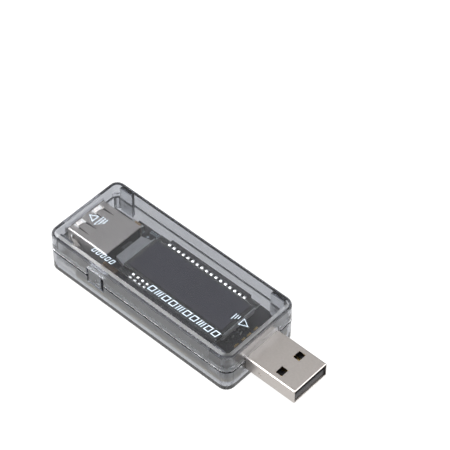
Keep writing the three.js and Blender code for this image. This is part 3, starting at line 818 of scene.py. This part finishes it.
def build_key(finish):
    low, high = KEY_ZS
    face_y = KEY_LOW.y
    face_x = (KEY_X - KEY_HALF + 0.15, KEY_X + KEY_HALF - 1.05)
    face = block(face_x, (face_y, 0.1 - INNER_Y), (low + 0.15, high - 0.15), 0.3, 3)
    key = mesh_object("key_moulding", face)
    flange = tool((KEY_X - 3.4, KEY_X + 3.4), (FIT - INNER_Y, 0.6 - INNER_Y), (low - 0.4, high + 0.4), 0.1)
    nub_zs = (PLUNGER_Z - 0.6, PLUNGER_Z + 0.6)
    nub = tool((KEY_X - 0.8, KEY_X + 0.8), (0.5 - INNER_Y, KEY_HIGH.y), nub_zs, 0.1)
    combine(key, "UNION", [flange, nub])
    settle(key, *finish, body=KEY_BODY, stands_for=["reset_button"])


def build_key_shade_rail(finish):
    """Near-black rail beside the key, in the opening's plug-end side: painted shade that fills the dark band
    there.
    """
    xs = (KEY_X + KEY_HALF - 0.9, KEY_X + KEY_HALF - 0.04)
    rail = block(xs, (0.12 - CASE_HALF, 0.05 - INNER_Y), (KEY_ZS[0] + 0.05, KEY_ZS[1] - 0.9), 0.1)
    add_piece("key_shade_rail", [rail], finish, edge=0)


MARK_ZS = (OUTER_TOP - 0.001, CASE_TOP)


def build_marks(finish):
    """Printed marks on the cover: two arrows with tally bars, and two rows of slanted shapes."""
    forms = [
        ring_plate([(55.6, -2.66), (58.0, -1.54), (55.6, -0.2)], 0.17, MARK_ZS),
        ring_plate([(4.1, -1.55), (6.4, -2.8), (6.4, -0.25)], 0.2, MARK_ZS),
    ]
    for i in range(3):
        x = 53.1 + 0.62 * i
        forms.append(block((x, x + 0.18), (-2.4 + 0.5 * i, -0.3), MARK_ZS))
        x = 7.3 + 0.75 * i
        forms.append(block((x, x + 0.2), (-3.2 + 0.8 * i, 0.3), MARK_ZS))
    for i in range(10):
        x = 31.6 + 2.33 * i
        if i % 3 == 1:
            forms += [prism(slanted(x + step, -9.3, 0.26, 1.8), MARK_ZS) for step in (0, 0.7, 1.4)]
        else:
            forms.append(ring_plate(slanted(x, -9.3, 1.66, 1.8), 0.24, MARK_ZS))
    for i in range(5):
        x = 12.8 + 1.5 * i
        forms.append(ring_plate(slanted(x, -9.75, 0.95, 1.5), 0.18, MARK_ZS))
    add_piece("cover_print", forms, finish, edge=0)


def slanted(x, y, length, height):
    """Leaning four-sided mark with its low corner at a point."""
    lean = 0.22 * height
    return [(x, y), (x + length, y), (x + length + lean, y + height), (x + lean, y + height)]


# ---------------------------------------------------------------- display


def build_display(finish):
    rear = block(*zip(REAR_LOW, REAR_HIGH), 0.05)
    add_piece("rear_glass", [rear], finish["glass"], stands_for=["lcd_rear_glass"], edge=0)
    front = block(*zip(FRONT_LOW, FRONT_HIGH), 0.05)
    add_piece("front_glass", [front], finish["glass"], stands_for=["lcd_front_glass"], edge=0)
    for name, node in (("front_film", "lcd_front_polariser"), ("rear_film", "lcd_rear_polariser")):
        low, high = span(node)
        sheet = prism(outline((low.x, high.x), (low.y, high.y), 0.2, 3), (low.z, high.z))
        add_piece(name, [sheet], finish["film"], stands_for=[node], edge=0.01)
    glass_xs = (LCD_START + 0.06, LCD_END - 0.06)
    glass_ys = (FRONT_LOW.y + 0.06, FRONT_HIGH.y - 0.06)
    seal_zs = (REAR_HIGH.z + 0.01, FRONT_LOW.z - 0.01)
    seal = ring_plate(outline(glass_xs, glass_ys, 0.3, 3), MASK_WIDTH, seal_zs)
    add_piece("display_mask", [seal], finish["mask"], stands_for=["lcd_seal"], edge=0)
    ends = []
    end_ys = (FRONT_LOW.y + 0.5, FRONT_HIGH.y - 0.5)
    end_zs = (REAR_LOW.z + 0.1, FRONT_HIGH.z - 0.1)
    for x, way in ((REAR_HIGH.x, 1), (LCD_START, -1)):
        xs = sorted((x + way * 0.02, x + way * 0.3))
        ends.append(block(xs, end_ys, end_zs, 0.08))
    add_piece("glass_end_seal", ends, finish["seal"], edge=0)
    shade_xs = (REAR_LOW.x + 0.1, REAR_HIGH.x - 0.1)
    shade_ys = (REAR_LOW.y + 0.1, REAR_HIGH.y - 0.1)
    shade = ring_plate(outline(shade_xs, shade_ys, 0.3, 3), 2.1, (REAR_LOW.z - 0.13, REAR_LOW.z - 0.02))
    add_piece("display_shade", [shade], finish["mask"], edge=0)
    build_guide(finish["white"])
    low, high = span("backlight_reflector")
    tray = prism(outline((low.x, high.x), (low.y, high.y), 0.4, 3), (low.z, high.z))
    add_piece("guide_reflector", [tray], finish["white"], stands_for=["backlight_reflector"], edge=0.02)
    low, high = span("backlight_led")
    lamp = [block((low.x, high.x), (low.y, high.y), (GUIDE_LOW.z + 0.15, GUIDE_HIGH.z - 0.15), 0.08)]
    for y in (LCD_Y - 1.2, LCD_Y + 1.2):
        lead = [(low.x + 0.45, low.z), (low.x + 0.45, GUIDE_LOW.z + 0.3)]
        lamp.append(ribbon(lead, 0.25, y - 0.2, y + 0.2, "xz"))
    add_piece("lamp_body", lamp, finish["black"], stands_for=["backlight_led"])
    window_zs = (GUIDE_LOW.z + 0.4, GUIDE_HIGH.z - 0.4)
    window = block((high.x - 0.03, high.x + 0.02), (low.y + 0.4, high.y - 0.4), window_zs)
    add_piece("lamp_window", [window], finish["white"], edge=0.01)


def build_guide(finish):
    """Light guide, a plate that narrows to the lamp, with shallow steps in its underside."""
    nose, shoulder = GUIDE_LOW.x, 21.1
    half, narrow = (GUIDE_HIGH.y - GUIDE_LOW.y) / 2, 4.55
    end = GUIDE_HIGH.x
    plan = [
        (nose, LCD_Y - narrow), (shoulder, LCD_Y - half), (end, LCD_Y - half),
        (end, LCD_Y + half), (shoulder, LCD_Y + half), (nose, LCD_Y + narrow),
    ]
    guide = mesh_object("light_guide", prism(plan, (GUIDE_LOW.z, GUIDE_HIGH.z)))
    grooves = [
        tool((x, x + 0.5), (LCD_Y - half + 0.6, LCD_Y + half - 0.6), (GUIDE_LOW.z - 0.2, GUIDE_LOW.z + 0.08))
        for x in range(24, 52, 3)
    ]
    combine(guide, "DIFFERENCE", grooves)
    settle(guide, *finish, stands_for=["backlight_guide"], edge=0.06)


def build_pins(finish):
    face = GLASS_HALF + 0.06 + PIN_SHEET / 2
    top = REAR_HIGH.z + 0.04 + PIN_SHEET / 2
    clip = REAR_LOW.z - 0.2 - PIN_SHEET / 2
    for side, node in ((1, "lcd_pin_row_left"), (-1, "lcd_pin_row_right")):
        low, high = span(node)
        word = "left" if side > 0 else "right"
        forms = []
        for x in PIN_XS:
            sides = (x - PIN_WIDTH / 2, x + PIN_WIDTH / 2)
            leg = [(6.25, top), (6.85, top + 0.2)] if side > 0 else [(6.25, top + 0.14), (6.8, top)]
            leg += [(7.3, top), (face, top), (face, LEG_END)]
            path = [(LCD_Y + side * y, z) for y, z in leg]
            forms.append(ribbon(path, PIN_SHEET, *sides, "yz", 0.3))
            jaw = [(LCD_Y + side * y, z) for y, z in ((6.9, clip - 0.05), (7.4, clip), (face, clip))]
            forms.append(ribbon(jaw, PIN_SHEET, sides[0] + 0.04, sides[1] - 0.04, "yz", 0.15))
        add_piece("clip_pins_" + word, forms, finish["tin"], stands_for=[node], edge=0.04)
        # Dark sealant: the carrier along the pins' feet is the adhesive that holds them, and the bead over
        # the flat fingers is painted dark reflection in their place, on the left row reaching out over the
        # pin bend too.
        out = 7.42 if side < 0 else 8.02
        bead = [(6.88, top - 0.1), (6.98, top + 0.32), (7.2, top + 0.36)]
        bead += [(out - 0.05, top + 0.2), (out, top - 0.1)]
        skin = face + PIN_SHEET / 2
        carrier = [(skin - 0.12, top + 0.16), (8.2, top + 0.16), (8.4, top), (8.4, BOARD_TOP + 0.3)]
        carrier.append((skin - 0.02, BOARD_TOP + 0.3))
        forms = []
        for section in (bead, carrier):
            points = [(LCD_Y + side * y, z) for y, z in section]
            forms.append(loft([[(x, y, z) for y, z in points] for x in (low.x, high.x)]))
        add_piece("pin_sealant_and_shade_" + word, forms, finish["sealant_and_shade"], edge=0.03, sharp=60)
    # Painted shade: a thin black strip over the near row's pins from the fifth on, which hides them.
    path = [(6.1, top + 0.39), (7.3, top + 0.42), (8.2, top + 0.32), (8.46, top + 0.05), (8.46, top - 0.9)]
    path = [(LCD_Y - y, z) for y, z in path]
    shade_strip_form = ribbon(path, 0.06, PIN_XS[BARE_PINS - 1] + 0.6, REAR_HIGH.x - 0.15, "yz", 0.2)
    add_piece("pin_shade_strip", [shade_strip_form], finish["black"], edge=0)


# ---------------------------------------------------------------- plug and socket


def sheet_tube(half, zs, rows, radius=0.5):
    """Rectangular tube of sheet metal along X. Each row is an x and how far the skin lies inside."""
    rings = []
    for x, inset in rows:
        ys = (inset - half, half - inset)
        heights = (zs[0] + inset, zs[1] - inset)
        rings.append([(x, y, z) for y, z in outline(ys, heights, max(radius - inset, 0.12), 5)])
    return loft(rings, closed=True)


def legs(xs_list, half):
    """Solder legs that reach down from a shell's side walls through the board."""
    forms = []
    for x0, x1 in xs_list:
        middle = (x0 + x1) / 2
        for side in (-1, 1):
            ys = mirrored(side, half - SHEET + 0.02, half - 0.02)
            plan = [(x0, LEG_TOP), (x1, LEG_TOP), (x1, LEG_END + 0.5), (middle + 0.3, LEG_END)]
            plan += [(middle - 0.3, LEG_END), (x0, LEG_END + 0.5)]
            forms.append(loft([[(x, y, z) for x, z in plan] for y in ys]))
    return forms


def build_plug(finish):
    zs = (PLUG_Z, PLUG_Z + PLUG_HEIGHT)
    tip = PLUG_HIGH.x
    rows = [(PLUG_BACK, 0.0), (tip - 0.3, 0.0), (tip - 0.1, 0.03), (tip - 0.02, 0.09), (tip, 0.17)]
    rows += [(tip - 0.03, 0.26), (tip - 0.1, SHEET), (PLUG_BACK, SHEET)]
    shell = mesh_object("plug_sheet", sheet_tube(PLUG_HALF, zs, rows))
    cutters = []
    for side in (-1, 1):
        ys = mirrored(side, *WINDOW_Y)
        cutters.append(tool(WINDOW_X, ys, (PLUG_Z - 1, PLUG_Z + PLUG_HEIGHT + 1)))
    dimple = turned([(0.45, -0.1), (0.45, 0.07)], (DIMPLE_X, -PLUG_HALF, DIMPLE_Z), 20, "y")
    cutters.append(mesh_object("tool", dimple))
    cutters.append(tool((PLUG_INNER, tip + 1), (-0.04, 0.04), (PLUG_Z - 0.1, PLUG_Z + 0.12)))
    combine(shell, "DIFFERENCE", cutters)
    settle(shell, *finish["nickel"], stands_for=["plug_shell"])
    add_piece("plug_legs", legs([PLUG_LEG_X], PLUG_HALF), finish["nickel"], edge=0.03)
    low, high = span("plug_insulator")
    core = mesh_object("plug_core", block(*zip(low, high), 0.15))
    grooves = []
    for y in CONTACT_YS:
        groove_end = high.x - (0.6 if abs(y) > 2 else 1.6)
        grooves.append(tool((high.x - 9.6, groove_end), (y - 0.62, y + 0.62), (high.z - 0.06, high.z + 1)))
    combine(core, "DIFFERENCE", grooves)
    settle(core, *finish["black"], stands_for=["plug_insulator"])
    for i, y in enumerate(CONTACT_YS, 1):
        node = "plug_contact_" + str(i)
        low, high = span(node)
        sheet = 0.2
        level = high.z - sheet / 2
        path = [(PLUG_CONTACT_X, LEG_END), (PLUG_CONTACT_X, level)]
        path += [(high.x - 0.4, level), (high.x, level - 0.12)]
        add_piece("plug_blade_" + str(i), [ribbon(path, sheet, y - 0.5, y + 0.5, "xz", 0.35)], finish["gold"],
                  stands_for=[node])


def build_socket(finish):
    zs = (SOCKET_Z, SOCKET_TOP)
    rows = [(SOCKET_END, 0.0), (0.75, 0.0), (0.35, -0.06), (0.1, -0.24), (0.0, -RIM_FLARE + 0.01)]
    rows += [(0.0, 0.1 - RIM_FLARE), (0.25, 0.08), (0.6, SHEET - 0.04), (0.9, SHEET), (SOCKET_END, SHEET)]
    shell = mesh_object("socket_sheet", sheet_tube(SOCKET_HALF, zs, rows))
    cutters = []
    outer, inner = 1.55, 1.4
    for side in (-1, 1):
        y = side * SPRING_Y
        plan = [(SPRING_X[0], y - outer), (SPRING_X[1], y - inner)]
        plan += [(SPRING_X[1], y + inner), (SPRING_X[0], y + outer)]
        cutters.append(mesh_object("tool", prism(plan, (0, 20))))
    arch = turned([(2.0, -8), (2.0, 8)], (3.9, 0, SOCKET_Z + SOCKET_HEIGHT / 2), 32, "y")
    cutters.append(mesh_object("tool", arch))
    cutters.append(tool((12.2, SOCKET_END + 1), (-5.6, 5.6), (0, SOCKET_Z + 1)))
    combine(shell, "DIFFERENCE", cutters)
    settle(shell, *finish["socket"], stands_for=["socket_shell"])
    springs = []
    for side in (-1, 1):
        y = side * SPRING_Y
        near, far = (y - inner + 0.14, y - 0.76), (y + inner - 0.14, y + 0.76)
        for level, turn in ((SOCKET_TOP - SHEET / 2, -1), (SOCKET_Z + SHEET / 2, 1)):
            path = [(6.75, level), (2.95, level + turn * 0.03), (2.4, level + turn * 0.55), (1.32, level)]
            springs.append(ribbon(path, 0.24, near, far, "xz", 0.2))
    add_piece("socket_springs", springs, finish["socket"], edge=0.03)
    flaps = []
    for side in (-1, 1):
        level = side * (SOCKET_HALF - SHEET / 2)
        path = [(5.7, level), (4.8, level - side * 0.2)]
        path += [(2.7, level - side * 0.75), (2.1, level - side * 0.5)]
        middle = SOCKET_Z + SOCKET_HEIGHT / 2
        flaps.append(laid_flat(ribbon(path, 0.22, middle - 0.85, middle + 0.85, "xz", 0.3)))
    add_piece("socket_side_springs", flaps, finish["nickel"], edge=0.03)
    add_piece("socket_legs", legs(SOCKET_LEG_XS, SOCKET_HALF), finish["socket"], edge=0.03)
    for i, y in enumerate(CONTACT_YS, 1):
        node = "socket_contact_" + str(i)
        low, high = span(node)
        level = high.z - 0.1
        path = [(low.x, level + 0.1), (low.x + 1.0, level - 0.35), (low.x + 3.4, level)]
        path += [(SOCKET_CONTACT_X, level), (SOCKET_CONTACT_X, LEG_END)]
        add_piece("socket_blade_" + str(i), [ribbon(path, 0.2, y - 0.5, y + 0.5, "xz", 0.35)], finish["gold"],
                  stands_for=[node])


# ---------------------------------------------------------------- board parts


def dress_cad(finish):
    kept = {
        "main_board": "board",
        "socket_insulator": "black",
        "switch_body": "black",
    }
    for name, key in kept.items():
        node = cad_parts[name]
        node.data.materials.clear()
        node.data.materials.append(finish[key][0])


def build_switch(finish):
    low, high = span("switch_frame")
    frame_path = [(low.x + 0.08, low.z), (low.x + 0.08, high.z - 0.08)]
    frame_path += [(high.x - 0.08, high.z - 0.08), (high.x - 0.08, low.z)]
    strap = ribbon(frame_path, 0.15, low.y, high.y, "xz", 0.25)
    tabs = [
        block((KEY_X - 1.9, KEY_X - 1.2), (low.y - 0.35, low.y + 0.05), (high.z - 0.16, high.z - 0.02), 0.03),
        block((KEY_X + 1.2, KEY_X + 1.9), (low.y - 0.35, low.y + 0.05), (high.z - 0.16, high.z - 0.02), 0.03),
    ]
    add_piece("switch_strap", [strap] + tabs, finish["bronze"], stands_for=["switch_frame"])
    low, high = span("switch_plunger")
    button = block(*zip(low, high), 0.12, 3)
    add_piece("switch_button", [button], finish["black"], STEM_BODY, ["switch_plunger"], 0)
    low, high = span("switch_dome")
    bow = [(low.x + 0.1, high.y - 0.05), (KEY_X - 0.35, low.y + 0.12), (KEY_X + 0.35, low.y + 0.12)]
    bow.append((high.x - 0.1, high.y - 0.05))
    leaf = laid_flat(ribbon(bow, 0.1, low.z, high.z, "xz", 0.25))
    add_piece("switch_leaf", [leaf], finish["tin"], stands_for=["switch_dome"], edge=0)


def chip_form(low, high, taper=0.12):
    """Moulded chip body, narrower towards its top and bottom faces."""
    waist = (low.z + high.z) / 2
    rings = []
    for z, inset in ((low.z + 0.1, taper), (waist, 0), (high.z - 0.03, taper), (high.z, taper + 0.03)):
        xs, ys = (low.x + inset, high.x - inset), (low.y + inset, high.y - inset)
        rings.append([(x, y, z) for x, y in outline(xs, ys, 0.12, 2)])
    return loft(rings)


def gull_leads(low, high, count, along_x):
    """Two rows of bent leads on opposite sides of a chip."""
    forms = []
    start, end = (low.x, high.x) if along_x else (low.y, high.y)
    pitch = (end - start) / count
    waist = (low.z + high.z) / 2
    for i in range(count):
        at = start + pitch * (i + 0.5)
        for side in (-1, 1):
            edge = (high if side > 0 else low).y if along_x else (high if side > 0 else low).x
            path = [(edge - side * 0.1, waist), (edge + side * 0.3, waist)]
            path += [(edge + side * 0.45, BOARD_TOP + 0.08), (edge + side * 0.85, BOARD_TOP + 0.08)]
            half = min(pitch * 0.28, 0.2)
            forms.append(ribbon(path, 0.12, at - half, at + half, "yz" if along_x else "xz", 0.1))
    return forms


def build_chips(finish):
    chips = (("meter_chip", 9, (True, False)), ("amplifier_chip", 4, (True,)), ("regulator", 3, (True,)))
    for name, count, rows in chips:
        low, high = span(name)
        body = mesh_object(name + "_body", chip_form(low, high))
        dimple = turned([(0.3, -0.04), (0.3, 0.3)], (low.x + 0.8, low.y + 0.8, high.z), 16)
        combine(body, "DIFFERENCE", [mesh_object("tool", dimple)])
        settle(body, *finish["chip"], stands_for=[name])
        leads = []
        for along_x in rows:
            leads += gull_leads(low, high, count, along_x)
        add_piece(name + "_leads", leads, finish["tin"], edge=0.02)
    caps = {"shunt_resistor": "chip", "capacitor_1": "tan", "capacitor_2": "tan", "capacitor_3": "tan",
            "resistor_1": "chip", "resistor_2": "chip", "resistor_3": "chip", "resistor_4": "chip",
            "tantalum_capacitor": "tan"}
    for name, key in caps.items():
        low, high = span(name)
        long_x = high.x - low.x > high.y - low.y
        share = 0.22
        if name == "shunt_resistor":
            share = 0.12
        middle_low, middle_high = low.copy(), high.copy()
        axis = 0 if long_x else 1
        cap = (high[axis] - low[axis]) * share
        middle_low[axis] += cap
        middle_high[axis] -= cap
        inset = Vector((0.03, 0.03, 0.03))
        inset[axis] = -0.05
        add_piece(name + "_body", [block(*zip(middle_low + inset, middle_high - inset), 0.05)], finish[key],
                  stands_for=[name], edge=0)
        ends = []
        for side in (0, 1):
            end_low, end_high = low.copy(), high.copy()
            if side:
                end_low[axis] = high[axis] - cap
            else:
                end_high[axis] = low[axis] + cap
            ends.append(block(*zip(end_low, end_high), 0.06))
        add_piece(name + "_ends", ends, finish["solder"], edge=0)
    low, high = span("crystal")
    lid_xs, lid_ys = (low.x + 0.15, high.x - 0.15), (low.y + 0.15, high.y - 0.15)
    can = [
        prism(outline((low.x, high.x), (low.y, high.y), 0.3, 3), (low.z, low.z + 0.15)),
        prism(outline(lid_xs, lid_ys, 0.3, 3), (low.z + 0.1, high.z)),
    ]
    add_piece("crystal_can", can, finish["tin"], stands_for=["crystal"], edge=0.06)


FILLET = ((0.62, 0.0), (0.6, 0.06), (0.4, 0.2), (0.24, 0.5), (0.1, 0.62))


def joint_places():
    """Middle of every lead that goes through the board, with the size of its joint."""
    places = []
    for side in (-1, 1):
        y = side * (GLASS_HALF + 0.06 + PIN_SHEET / 2)
        places += [(x, LCD_Y + y, 0.8) for x in PIN_XS]
        places.append((sum(PLUG_LEG_X) / 2, side * (PLUG_HALF - SHEET / 2), 1.6))
        places += [(sum(xs) / 2, side * (SOCKET_HALF - SHEET / 2), 1.6) for xs in SOCKET_LEG_XS]
    for y in CONTACT_YS:
        places += [(SOCKET_CONTACT_X, y, 1.1), (PLUG_CONTACT_X, y, 1.1)]
    return places


def build_solder(finish):
    under, over = [], []
    for x, y, size in joint_places():
        profile = [(radius * size, -height) for radius, height in FILLET]
        under.append(turned(profile, (x, y, BOARD_LOW.z - 0.005), 12))
        profile = [(radius * size * 0.8, height * 0.2) for radius, height in FILLET]
        over.append(turned(profile, (x, y, BOARD_TOP + 0.005), 12))
    add_piece("solder_under", under, finish, edge=0)
    add_piece("solder_over", over, finish, edge=0)


def build_board_print(finish):
    """Pale outlines and polarity signs printed on the board."""
    level = (BOARD_TOP + 0.005, BOARD_TOP + 0.03)
    forms = []
    for x, y in ((14.9, 5.6), (14.9, -4.9), (14.6, 8.6), (55.4, 7.6)):
        forms.append(block((x - 0.45, x + 0.45), (y - 0.08, y + 0.08), level))
        forms.append(block((x - 0.08, x + 0.08), (y - 0.45, y + 0.45), level))
    for i in range(6):
        x = 14.0 + 1.05 * i
        forms.append(ring_plate([(x, 10.0), (x + 0.7, 10.0), (x + 0.7, 10.8), (x, 10.8)], 0.12, level))
    for name in ("meter_chip", "amplifier_chip", "shunt_resistor", "crystal"):
        low, high = span(name)
        xs, ys = (low.x - 1.1, high.x + 1.1), (low.y - 1.1, high.y + 1.1)
        forms.append(ring_plate(outline(xs, ys, 0.2, 2), 0.14, level))
    forms.append(ring_plate(outline((8.6, 12.7), (7.4, 9.45), 0.2, 2), 0.14, level))
    add_piece("board_print", forms, finish, edge=0)


add_camera()
add_stage()
finishes = make_finishes()
build_cover(finishes["smoke"])
build_base(finishes["smoke"])
build_key(finishes["smoke"])
build_seam_shade_line(finishes["gap"])
build_key_shade_rail(finishes["gap"])
build_marks(finishes["ink"])
build_display(finishes)
build_pins(finishes)
build_plug(finishes)
build_socket(finishes)
build_switch(finishes)
build_chips(finishes)
build_solder(finishes["solder"])
build_board_print(finishes["ink"])
dress_cad(finishes)
